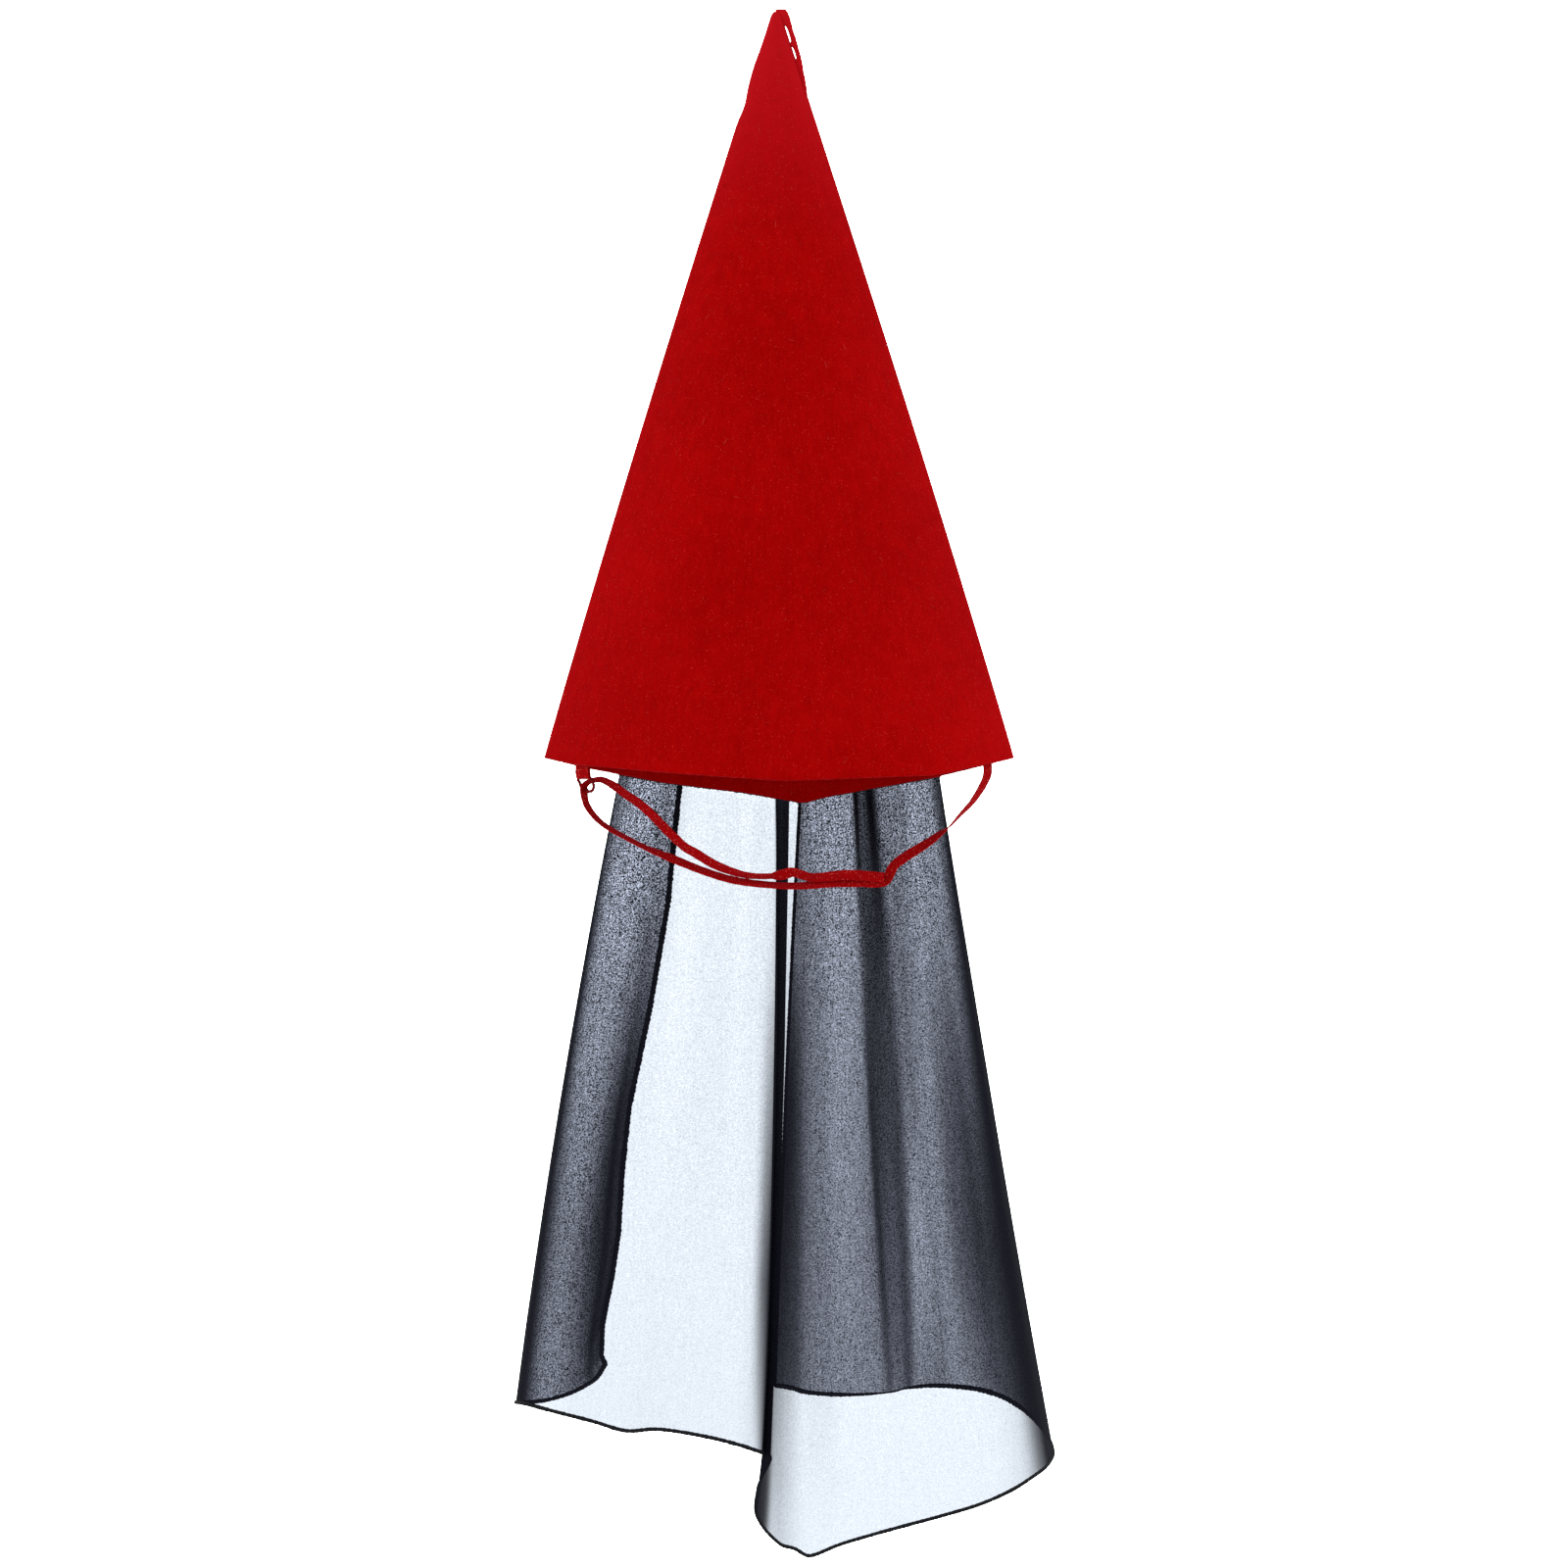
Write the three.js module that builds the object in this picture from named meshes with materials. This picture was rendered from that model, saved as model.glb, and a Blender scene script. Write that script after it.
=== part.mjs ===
// A tall red felt cone hat with a sheer black veil and a ribbon chin strap.
// Millimetres, +Z up, +X to the right and -Y to the front, the side that faces the viewer.
// The origin is on the cone's axis, level with the two side corners of the rim.
import * as THREE from 'three';

// Felt cone: one blank bent round and pressed flat, so that it keeps a crease down each side
const CONE_HEIGHT = 387.5;
const CONE_LEAN = -1.5;
const RIM_HALF_WIDTH = 120;
const RIM_HALF_DEPTH = 68;
const CREASE_POWER = 2.1;
const FELT = 1.85;
const FELT_AT_CREASE = 2.6;
const HOLLOW_DROP = 10;
const HOLLOW_TOP = 350;
const TIP_ROUNDING = 1.9;
const CONE_COLUMNS = 48;
const CONE_RINGS = 6;

// How far the rim hangs below its side corners, across the hat from left (-1) to right (1)
const FRONT_RIM = [
  { across: -1, drop: 0 },
  { across: -0.87, drop: 3.1 },
  { across: -0.46, drop: 7.4 },
  { across: 0.02, drop: 11.5 },
  { across: 0.65, drop: 8.6 },
  { across: 0.85, drop: 3.6 },
  { across: 1, drop: 0 },
];
// The back runs down to a shallow point where the blank's two ends meet
const BACK_RIM = [
  { across: -1, drop: 0 },
  { across: -0.81, drop: 5.3 },
  { across: -0.49, drop: 12.4 },
  { across: -0.15, drop: 17.6 },
  { across: 0.1, drop: 23.1 },
  { across: 0.19, drop: 20 },
  { across: 0.49, drop: 13.3 },
  { across: 0.68, drop: 9.3 },
  { across: 1, drop: 0 },
];

// Seam allowance that stands out at the right of the tip, as an outline in width and height
const TIP_FLAP_THICKNESS = 3.2;
const TIP_FLAP_GAP = 0.35;
const TIP_FLAP_OUTLINE = [
  { x: 14.6, z: 338 },
  { x: 12.6, z: 352 },
  { x: 10.3, z: 361.5 },
  { x: 7.2, z: 372 },
  { x: 5.4, z: 379 },
  { x: 3.4, z: 382.2 },
];
// Two narrow slits stay open where the allowance isn't caught down on the cone
const TIP_SLIT_WIDTH = 1.1;
const TIP_SLITS = [
  { from: 356.8, to: 362.2 },
  { from: 363.6, to: 373.8 },
];

// Veil: one sheet of chiffon, sewn to the outside of the cone's back wall just above its rim and
// folded back at both sides. Each row is a rib: its place across the rim, how far it stands out
// from the wall there, and where it ends at the hem.
const VEIL_OVERLAP = 9;
const VEIL_BELOW_RIM = 1;
// Along the seam its folds are pressed down to this share of how far they stand out at the rim
const VEIL_PRESSED = 0.4;
const VEIL_NEAREST = 1.3;
const VEIL_WALL = 1;
const VEIL_COLUMNS_PER_RIB = 3;
const VEIL_ROWS = 8;
const VEIL_RIBS = [
  { place: 'left back edge', x: -55.4, out: 9, hemX: -92.9, hemY: 109.1, hem: -325.6 },
  { place: 'left strip', x: -66.3, out: 8.5, hemX: -103.2, hemY: 100.5, hem: -334.1 },
  { place: 'left back turn', x: -77, out: 6.5, hemX: -120.8, hemY: 84.1, hem: -339.5 },
  { place: 'left side', x: -83.3, out: 3.8, hemX: -137.8, hemY: 57.6, hem: -337.3 },
  { place: 'left front turn', x: -79, out: 1.6, hemX: -128.1, hemY: 30.3, hem: -335 },
  { place: 'front left, outer', x: -63.9, out: 1.3, hemX: -103.1, hemY: 9.2, hem: -337.2 },
  { place: 'front left', x: -38.5, out: 1.3, hemX: -64.4, hemY: -3.2, hem: -342 },
  { place: 'front left, inner', x: -14.6, out: 1.3, hemX: -27.1, hemY: -7.9, hem: -345.4 },
  { place: 'pleat, left lip', x: -3, out: 1.4, hemX: -13.1, hemY: -2.5, hem: -350.2 },
  { place: 'pleat, bottom', x: 5.2, out: 17, hemX: -3.2, hemY: 17, hem: -363.7 },
  { place: 'pleat, right lip', x: 0.4, out: 2.6, hemX: -11.4, hemY: -6.4, hem: -384.2 },
  { place: 'front right, inner', x: 7, out: 1.3, hemX: -2.5, hemY: -11.8, hem: -396.5 },
  { place: 'front right, long corner', x: 17, out: 1.3, hemX: 16.4, hemY: -13, hem: -402.8 },
  { place: 'front right', x: 38.2, out: 1.3, hemX: 48.7, hemY: -11.8, hem: -394.9 },
  { place: 'front right, outer', x: 62.2, out: 1.3, hemX: 83, hemY: -8.7, hem: -385.9 },
  { place: 'right front turn', x: 78.6, out: 1.6, hemX: 118, hemY: 6.9, hem: -368.9 },
  { place: 'right side', x: 83.4, out: 3.8, hemX: 142.5, hemY: 45.1, hem: -362.6 },
  { place: 'right back turn', x: 78.9, out: 6.5, hemX: 142.5, hemY: 70.1, hem: -355.6 },
  { place: 'back right, outer', x: 68.2, out: 8.5, hemX: 132.9, hemY: 91.1, hem: -347.4 },
  { place: 'back right', x: 57.7, out: 8.5, hemX: 117.3, hemY: 103.6, hem: -340.2 },
  { place: 'back fold, outer', x: 50.6, out: 9.5, hemX: 89.7, hemY: 108.3, hem: -338 },
  { place: 'back fold, crest', x: 46, out: 21, hemX: 63.2, hemY: 102.8, hem: -342.2 },
  { place: 'back fold, inner', x: 41.4, out: 9.5, hemX: 42.8, hemY: 110.6, hem: -342.3 },
  { place: 'back right, inner', x: 25.3, out: 8.5, hemX: 18.3, hemY: 112.2, hem: -340.2 },
  { place: 'right back edge', x: 10.8, out: 8, hemX: -2.8, hemY: 109.9, hem: -336.3 },
];

// Chin strap: one flat ribbon that runs from the right side of the rim to its join, doubles back
// through the thread loop at the left and ends at the join. Turn 0 shows its full width in front.
const STRAP_WIDTH = 5.4;
const STRAP_THICKNESS = 1;
const STRAP_STEPS = 78;
const STRAP_ROUTE = [
  { x: 102.9, y: -12.1, z: 7, turn: -44 },
  { x: 105.7, y: -12.5, z: -4, turn: -44 },
  { x: 105.2, y: -12.4, z: -9.5, turn: -48 },
  { x: 98.4, y: -12.6, z: -21.4, turn: -62 },
  { x: 91.7, y: -12.9, z: -28.7, turn: -74 },
  { x: 86.5, y: -13.2, z: -34.4, turn: -90 },
  { x: 81.9, y: -13.6, z: -37.9, turn: -112 },
  { x: 75.9, y: -14, z: -42.4, turn: -134 },
  { x: 62.8, y: -14.5, z: -50.7, turn: -150 },
  { x: 58.1, y: -14.9, z: -54.5, turn: -165 },
  { x: 53.2, y: -15.4, z: -62.2, turn: -180 },
  { x: 40.2, y: -15.8, z: -63.6, turn: -180 },
  { x: 25.8, y: -16, z: -63.6, turn: -180 },
  { x: 11.5, y: -16.2, z: -64.5, turn: -180 },
  { x: -3, y: -16.2, z: -64.2, turn: -180 },
  { x: -22.8, y: -16, z: -61.6, turn: -180 },
  { x: -38.4, y: -15.7, z: -57.1, turn: -180 },
  { x: -54, y: -15.3, z: -50.3, turn: -180 },
  { x: -67.2, y: -14.9, z: -45.2, turn: -180 },
  { x: -76.7, y: -14.5, z: -40.6, turn: -180 },
  { x: -87.1, y: -14, z: -34.8, turn: -196 },
  { x: -92.9, y: -13.6, z: -29.9, turn: -214 },
  { x: -97.5, y: -13.2, z: -23.4, turn: -240 },
  { x: -98.9, y: -12.8, z: -17.5, turn: -268 },
  { x: -99.2, y: -12.4, z: -14.4, turn: -270 },
  { x: -96.8, y: -12, z: -12, turn: -262 },
  { x: -92.4, y: -12.6, z: -11.2, turn: -226 },
  { x: -89.2, y: -13.4, z: -11.4, turn: -196 },
  { x: -82.6, y: -14.6, z: -14.6, turn: -180 },
  { x: -78.3, y: -15.4, z: -17.8, turn: -180 },
  { x: -71.8, y: -16.2, z: -21.9, turn: -180 },
  { x: -65.5, y: -16.8, z: -26.8, turn: -180 },
  { x: -54.1, y: -17.8, z: -38.9, turn: -180 },
  { x: -44.6, y: -18.4, z: -46.7, turn: -180 },
  { x: -31.8, y: -18.8, z: -53.9, turn: -180 },
  { x: -18.5, y: -19.1, z: -58.7, turn: -180 },
  { x: -3.7, y: -19.3, z: -59.1, turn: -180 },
  { x: 3.9, y: -19.4, z: -57.4, turn: -180 },
  { x: 16.4, y: -19.3, z: -60.1, turn: -180 },
  { x: 35.2, y: -18.9, z: -59.4, turn: -180 },
  { x: 51.1, y: -18.4, z: -60.5, turn: -180 },
];

// Tab at the left: a short ribbon folded double and sewn inside the front of the rim
const TAB_WIDTH = 9;
const TAB_THICKNESS = 1.8;
const TAB_ROUTE = [
  { x: -96.2, y: -18, z: 8, turn: 44 },
  { x: -98.3, y: -18.4, z: 0, turn: 44 },
  { x: -99.4, y: -18.7, z: -5, turn: 44 },
  { x: -99.6, y: -18.8, z: -10.4, turn: 44 },
];

// Thread loop that hangs from the tab and holds the doubled end of the strap
const THREAD = 0.8;
const THREAD_SIDES = 8;
const THREAD_STEPS = 32;
const THREAD_ROUTE = [
  { x: -98, y: -20, z: -11.3 },
  { x: -95.7, y: -19.8, z: -12.8 },
  { x: -95.2, y: -18.2, z: -15 },
  { x: -96.6, y: -16.4, z: -16 },
  { x: -97.8, y: -12.4, z: -14.6 },
  { x: -98.4, y: -8.6, z: -14.6 },
  { x: -100.6, y: -8.2, z: -14 },
  { x: -102.4, y: -12, z: -12.4 },
  { x: -101.6, y: -16.6, z: -11.3 },
];

const felt = { color: 0xa8080d, roughness: 0.95, metalness: 0 };
const chiffon = { color: 0x23242e, roughness: 0.8, metalness: 0 };
const ribbon = { color: 0xa50910, roughness: 0.6, metalness: 0 };
const thread = { color: 0x9c0a10, roughness: 0.7, metalness: 0 };

// Joins a stack of rings, each with the same number of points, into one closed body. The ends
// are closed by a fan or, where each ring is a thin wall's outline, by a strip across the wall.
function loft(name, rings, ends, look) {
  const corners = [];
  const triangle = (a, b, c) => corners.push(a, b, c);
  const count = rings[0].length;
  const joins = ends === 'none' ? rings.length : rings.length - 1;
  for (let r = 0; r < joins; r += 1) {
    const here = rings[r];
    const next = rings[(r + 1) % rings.length];
    for (let i = 0; i < count; i += 1) {
      const j = (i + 1) % count;
      triangle(here[i], here[j], next[j]);
      triangle(here[i], next[j], next[i]);
    }
  }
  for (const [ring, turned] of [[rings[0], true], [rings[rings.length - 1], false]]) {
    if (ends === 'fan') {
      const middle = ring.reduce((sum, p) => sum.add(p), new THREE.Vector3()).divideScalar(count);
      for (let i = 0; i < count; i += 1) {
        const j = (i + 1) % count;
        triangle(middle, ring[turned ? j : i], ring[turned ? i : j]);
      }
    }
    if (ends === 'strip') {
      for (let i = 0; i < count / 2 - 1; i += 1) {
        const quad = [ring[i], ring[i + 1], ring[count - 2 - i], ring[count - 1 - i]];
        if (turned) {
          quad.reverse();
        }
        triangle(quad[0], quad[1], quad[2]);
        triangle(quad[0], quad[2], quad[3]);
      }
    }
  }
  let volume = 0;
  for (let i = 0; i < corners.length; i += 3) {
    volume += corners[i].dot(corners[i + 1].clone().cross(corners[i + 2]));
  }
  if (volume < 0) {
    corners.reverse();
  }
  const geometry = new THREE.BufferGeometry().setFromPoints(corners);
  geometry.computeVertexNormals();
  const mesh = new THREE.Mesh(geometry, new THREE.MeshStandardMaterial(look));
  mesh.name = name;
  return mesh;
}

// Value of one column of a table at a place between its rows
function along(rows, key, at, column) {
  const last = rows.length - 1;
  const next = Math.min(last, Math.max(1, rows.findIndex((row) => row[key] >= at)));
  const share = (at - rows[next - 1][key]) / (rows[next][key] - rows[next - 1][key]);
  return THREE.MathUtils.lerp(rows[next - 1][column], rows[next][column], share);
}

// Point on the cone's outer or inner face: an angle round it, and a height
function onCone(angle, z, face) {
  const across = Math.cos(angle);
  const side = Math.sin(angle) < 0 ? -1 : 1;
  const bulge = 1 - Math.abs(across) ** CREASE_POWER;
  const apex = face === 'outer' ? CONE_HEIGHT : CONE_HEIGHT - HOLLOW_DROP;
  const halfWidth = face === 'outer' ? RIM_HALF_WIDTH : RIM_HALF_WIDTH - FELT_AT_CREASE;
  const halfDepth = face === 'outer' ? RIM_HALF_DEPTH : RIM_HALF_DEPTH - FELT;
  const size = (apex - z) / apex;
  const rounding = face === 'outer' ? TIP_ROUNDING : 0;
  const depth = Math.hypot(halfDepth * size, rounding) * bulge;
  const lean = CONE_LEAN * (z / CONE_HEIGHT);
  return new THREE.Vector3(halfWidth * size * across + lean, side * depth, z);
}

function feltCone() {
  const angles = Array.from({ length: CONE_COLUMNS }, (_, i) => (i * 2 * Math.PI) / CONE_COLUMNS);
  const rim = (angle) => {
    const rows = Math.sin(angle) < 0 ? FRONT_RIM : BACK_RIM;
    return -along(rows, 'across', Math.cos(angle), 'drop');
  };
  const ring = (face, top, share) => angles.map((angle) => {
    const z = THREE.MathUtils.lerp(rim(angle), top, share);
    return onCone(angle, z, face);
  });
  const tipTop = CONE_HEIGHT - 6.4;
  const shoulder = tipTop - 2;
  const rings = [ring('outer', tipTop, 1)];
  for (let k = CONE_RINGS; k >= 0; k -= 1) {
    rings.push(ring('outer', shoulder, k / CONE_RINGS));
  }
  for (let k = 0; k <= CONE_RINGS; k += 1) {
    rings.push(ring('inner', HOLLOW_TOP, k / CONE_RINGS));
  }
  return loft('felt_cone', rings, 'fan', felt);
}

function tipFlap() {
  const coneEdge = (z, away) => [onCone(0, z, 'outer').x + TIP_FLAP_GAP + away, z];
  const outline = new THREE.Shape();
  outline.moveTo(...coneEdge(TIP_FLAP_OUTLINE[0].z, 0));
  for (const corner of TIP_FLAP_OUTLINE) {
    outline.lineTo(corner.x, corner.z);
  }
  outline.lineTo(...coneEdge(TIP_FLAP_OUTLINE[TIP_FLAP_OUTLINE.length - 1].z, 0));
  for (const slit of [...TIP_SLITS].reverse()) {
    const end = TIP_SLIT_WIDTH / 2;
    outline.lineTo(...coneEdge(slit.to, 0));
    outline.lineTo(...coneEdge(slit.to - end, TIP_SLIT_WIDTH));
    outline.lineTo(...coneEdge(slit.from + end, TIP_SLIT_WIDTH));
    outline.lineTo(...coneEdge(slit.from, 0));
  }
  outline.closePath();
  const shape = new THREE.ExtrudeGeometry(outline, { depth: TIP_FLAP_THICKNESS, bevelEnabled: false });
  const mesh = new THREE.Mesh(shape, new THREE.MeshStandardMaterial(felt));
  mesh.rotation.x = Math.PI / 2;
  mesh.position.y = TIP_FLAP_THICKNESS / 2;
  mesh.name = 'tip_flap';
  return mesh;
}

// Point behind the cone's back wall: a place across, a height above the rim, a distance out
function behindRim(x, above, out) {
  let across = x / RIM_HALF_WIDTH;
  let z = 0;
  for (let pass = 0; pass < 3; pass += 1) {
    z = above - along(BACK_RIM, 'across', across, 'drop');
    const lean = CONE_LEAN * (z / CONE_HEIGHT);
    across = (x - lean) / ((RIM_HALF_WIDTH * (CONE_HEIGHT - z)) / CONE_HEIGHT);
  }
  return new THREE.Vector3(x, onCone(Math.acos(across), z, 'outer').y + out, z);
}

function veil() {
  const sewn = VEIL_RIBS.map((rib) => {
    const out = THREE.MathUtils.lerp(VEIL_NEAREST, rib.out, VEIL_PRESSED);
    return behindRim(rib.x, VEIL_OVERLAP, out);
  });
  const freed = VEIL_RIBS.map((rib) => behindRim(rib.x, -VEIL_BELOW_RIM, rib.out));
  const hemmed = VEIL_RIBS.map((rib) => new THREE.Vector3(rib.hemX, rib.hemY, rib.hem));
  const [sewnCurve, freedCurve, hemCurve] = [sewn, freed, hemmed]
    .map((points) => new THREE.CatmullRomCurve3(points, false, 'centripetal'));
  const columns = (VEIL_RIBS.length - 1) * VEIL_COLUMNS_PER_RIB;
  const places = Array.from({ length: columns + 1 }, (_, i) => i / columns);
  const rows = [places.map((place) => sewnCurve.getPoint(place))];
  for (let row = 0; row <= VEIL_ROWS; row += 1) {
    rows.push(places.map((place) => {
      const end = hemCurve.getPoint(place);
      return freedCurve.getPoint(place).lerp(end, row / VEIL_ROWS);
    }));
  }
  const up = new THREE.Vector3(0, 0, 1);
  const rings = rows.map((middle) => {
    const offset = middle.map((_, i) => {
      const before = middle[Math.max(0, i - 1)];
      const after = middle[Math.min(columns, i + 1)];
      return after.clone().sub(before).setZ(0).cross(up).setLength(VEIL_WALL / 2);
    });
    const outside = middle.map((p, i) => p.clone().sub(offset[i]));
    const inside = middle.map((p, i) => p.clone().add(offset[i]));
    return [...outside, ...inside.reverse()];
  });
  return loft('veil', rings, 'strip', chiffon);
}

// Flat ribbon along a route: its width lies across the view at turn 0 and along it at turn 90
function flatRibbon(name, route, steps, width, thickness, look) {
  const points = route.map((row) => new THREE.Vector3(row.x, row.y, row.z));
  const path = new THREE.CatmullRomCurve3(points, false, 'centripetal');
  const depth = new THREE.Vector3(0, 1, 0);
  const rings = [];
  for (let step = 0; step <= steps; step += 1) {
    const place = (step / steps) * (route.length - 1);
    const row = Math.min(route.length - 2, Math.floor(place));
    const turn = THREE.MathUtils.lerp(route[row].turn, route[row + 1].turn, place - row);
    const angle = THREE.MathUtils.degToRad(turn);
    const centre = path.getPoint(step / steps);
    const ahead = path.getTangent(step / steps);
    const flat = new THREE.Vector3(ahead.z, 0, -ahead.x).normalize();
    const back = depth.clone().addScaledVector(ahead, -depth.dot(ahead)).normalize();
    const across = flat.multiplyScalar(Math.cos(angle)).addScaledVector(back, Math.sin(angle));
    across.addScaledVector(ahead, -across.dot(ahead)).normalize();
    const out = ahead.clone().cross(across);
    rings.push([[1, 0.3], [0.8, 1], [-0.8, 1], [-1, 0.3], [-1, -0.3], [-0.8, -1], [0.8, -1], [1, -0.3]]
      .map(([w, t]) => centre.clone()
        .addScaledVector(across, (w * width) / 2)
        .addScaledVector(out, (t * thickness) / 2)));
  }
  return loft(name, rings, 'fan', look);
}

function threadLoop() {
  const points = THREAD_ROUTE.map((row) => new THREE.Vector3(row.x, row.y, row.z));
  const path = new THREE.CatmullRomCurve3(points, true, 'centripetal');
  const frames = path.computeFrenetFrames(THREAD_STEPS, true);
  const rings = [];
  for (let step = 0; step < THREAD_STEPS; step += 1) {
    const centre = path.getPointAt(step / THREAD_STEPS);
    rings.push(Array.from({ length: THREAD_SIDES }, (_, side) => {
      const angle = (side * 2 * Math.PI) / THREAD_SIDES;
      return centre.clone()
        .addScaledVector(frames.normals[step], (Math.cos(angle) * THREAD) / 2)
        .addScaledVector(frames.binormals[step], (Math.sin(angle) * THREAD) / 2);
    }));
  }
  return loft('thread_loop', rings, 'none', thread);
}

const hat = new THREE.Group();
hat.add(feltCone());
hat.add(tipFlap());
hat.add(veil());
hat.add(flatRibbon('chin_strap', STRAP_ROUTE, STRAP_STEPS, STRAP_WIDTH, STRAP_THICKNESS, ribbon));
hat.add(flatRibbon('strap_tab', TAB_ROUTE, 3, TAB_WIDTH, TAB_THICKNESS, ribbon));
hat.add(threadLoop());

export default hat;
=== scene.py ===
import math

import bmesh
import bpy
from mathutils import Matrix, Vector, noise


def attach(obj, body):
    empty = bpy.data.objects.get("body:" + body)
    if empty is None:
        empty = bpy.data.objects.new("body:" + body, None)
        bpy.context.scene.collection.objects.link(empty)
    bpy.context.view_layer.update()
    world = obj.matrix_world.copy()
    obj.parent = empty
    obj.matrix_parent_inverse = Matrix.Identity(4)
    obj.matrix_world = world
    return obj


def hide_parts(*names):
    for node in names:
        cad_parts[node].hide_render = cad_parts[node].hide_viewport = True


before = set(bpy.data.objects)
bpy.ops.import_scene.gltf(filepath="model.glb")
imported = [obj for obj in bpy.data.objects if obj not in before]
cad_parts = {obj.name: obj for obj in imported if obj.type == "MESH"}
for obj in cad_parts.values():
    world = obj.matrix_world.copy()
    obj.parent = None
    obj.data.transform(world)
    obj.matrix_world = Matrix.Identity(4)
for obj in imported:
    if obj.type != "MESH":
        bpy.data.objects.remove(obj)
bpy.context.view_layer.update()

# Studio: the hat is held up at head height in a bright white room with a pale floor, and a
# camera with a long lens stands two metres in front of it, level with the rim.
scene = bpy.context.scene
camera_data = bpy.data.cameras.new("camera")
camera_data.sensor_width = 36
camera_data.lens = 90
camera = bpy.data.objects.new("camera", camera_data)
camera.location = (0.0025, -2.0, -0.013)
camera.rotation_euler = (math.radians(90), 0, 0)
scene.collection.objects.link(camera)
scene.camera = camera
scene.view_settings.view_transform = "Standard"
scene.cycles.transparent_max_bounces = 32

MM = 0.001


class Link:
    """A socket of a node tree. Sums and products of links add Math nodes to the tree."""

    def __init__(self, tree, socket=None):
        self.tree = tree
        self.socket = socket

    def add(self, kind, values=None, out=0, **settings):
        made = self.tree.nodes.new(kind)
        for name, value in settings.items():
            setattr(made, name, value)
        for name, value in (values or {}).items():
            if isinstance(value, Link):
                self.tree.links.new(value.socket, made.inputs[name])
            else:
                made.inputs[name].default_value = value
        return Link(self.tree, made.outputs[out]) if len(made.outputs) else None

    def maths(self, operation, *numbers):
        return self.add("ShaderNodeMath", dict(enumerate(numbers)), operation=operation)

    def __add__(self, other):
        return self.maths("ADD", self, other)

    def __sub__(self, other):
        return self.maths("SUBTRACT", self, other)

    def __rsub__(self, other):
        return self.maths("SUBTRACT", other, self)

    def __mul__(self, other):
        return self.maths("MULTIPLY", self, other)

    def __truediv__(self, other):
        return self.maths("DIVIDE", self, other)

    def at_least(self, number):
        return self.maths("MAXIMUM", self, number)

    def exp(self):
        return self.maths("EXPONENT", self)

    def step(self, low, high):
        values = {"Value": self, "From Min": low, "From Max": high}
        return self.add("ShaderNodeMapRange", values, interpolation_type="SMOOTHSTEP")

    def noise(self, place, scale, detail=2.0, dimensions="3D"):
        values = {"Vector": place, "Scale": scale, "Detail": detail}
        return self.add("ShaderNodeTexNoise", values, noise_dimensions=dimensions)

    def stretch(self, place, scale):
        return self.add("ShaderNodeMapping", {"Vector": place, "Scale": scale})

    def blend(self, share, first, second):
        values = {0: share, 6: first, 7: second}
        return self.add("ShaderNodeMix", values, out=2, data_type="RGBA", clamp_factor=True)

    __radd__ = __add__
    __rmul__ = __mul__


def new_material(name):
    material = bpy.data.materials.new(name)
    material.use_nodes = True
    material.node_tree.nodes.clear()
    return material, Link(material.node_tree)


def new_piece(name, points, faces, material, uvs=None):
    """An object at the origin from points in millimetres."""
    mesh = bpy.data.meshes.new(name)
    mesh.from_pydata([tuple(c * MM for c in point) for point in points], [], faces)
    mesh.polygons.foreach_set("use_smooth", [True] * len(mesh.polygons))
    if uvs:
        layer = mesh.uv_layers.new(name="cloth")
        layer.data.foreach_set("uv", [c * MM for uv in uvs for c in uv])
    mesh.materials.append(material)
    piece = bpy.data.objects.new(name, mesh)
    scene.collection.objects.link(piece)
    return piece


def skin(name, rows, material, closed=False, capped=False, uv=None):
    """A surface over rows of points in millimetres; in a closed row the last meets the first."""
    count = len(rows[0])
    around = count if closed else count - 1
    points = [point for row in rows for point in row]
    faces = []
    uvs = []
    for r in range(len(rows) - 1):
        for i in range(around):
            j = (i + 1) % count
            base = r * count
            faces.append((base + i, base + j, base + count + j, base + count + i))
            if uv:
                uvs += [uv(r, i), uv(r, i + 1), uv(r + 1, i + 1), uv(r + 1, i)]
    if capped:
        for r, turned in ((0, True), (len(rows) - 1, False)):
            middle = len(points)
            points.append(sum((Vector(p) for p in rows[r]), Vector()) / count)
            for i in range(count):
                a, b = r * count + i, r * count + (i + 1) % count
                faces.append((middle, b, a) if turned else (middle, a, b))
                if uv:
                    uvs += [uv(r, i)] * 3
    piece = new_piece(name, points, faces, material, uvs)
    if closed:
        outward(piece)
    return piece


def outward(piece):
    """Turns a closed piece's faces so that they all point outwards."""
    work = bmesh.new()
    work.from_mesh(piece.data)
    bmesh.ops.recalc_face_normals(work, faces=work.faces)
    if work.calc_volume(signed=True) < 0:
        bmesh.ops.reverse_faces(work, faces=work.faces)
    work.to_mesh(piece.data)
    work.free()


def room_material(name, strength):
    material, start = new_material(name)
    place = start.add("ShaderNodeTexCoord", out="Object")
    cloud = start.noise(place, 0.8) * 0.04 + strength
    glow = start.add("ShaderNodeEmission", {"Color": (0.938, 1.0, 0.956, 1), "Strength": cloud})
    start.add("ShaderNodeOutputMaterial", {"Surface": glow})
    return material


def room_part(name, profile, strength):
    rows = []
    for radius, height in profile:
        turns = [2 * math.pi * i / 96 for i in range(96)]
        rows.append([(radius * math.cos(t), radius * math.sin(t), height) for t in turns])
    part = skin(name, rows, room_material(name, strength), closed=True)
    for ray in ("diffuse", "glossy", "transmission", "volume_scatter", "shadow"):
        setattr(part, "visible_" + ray, False)
    return part


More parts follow.
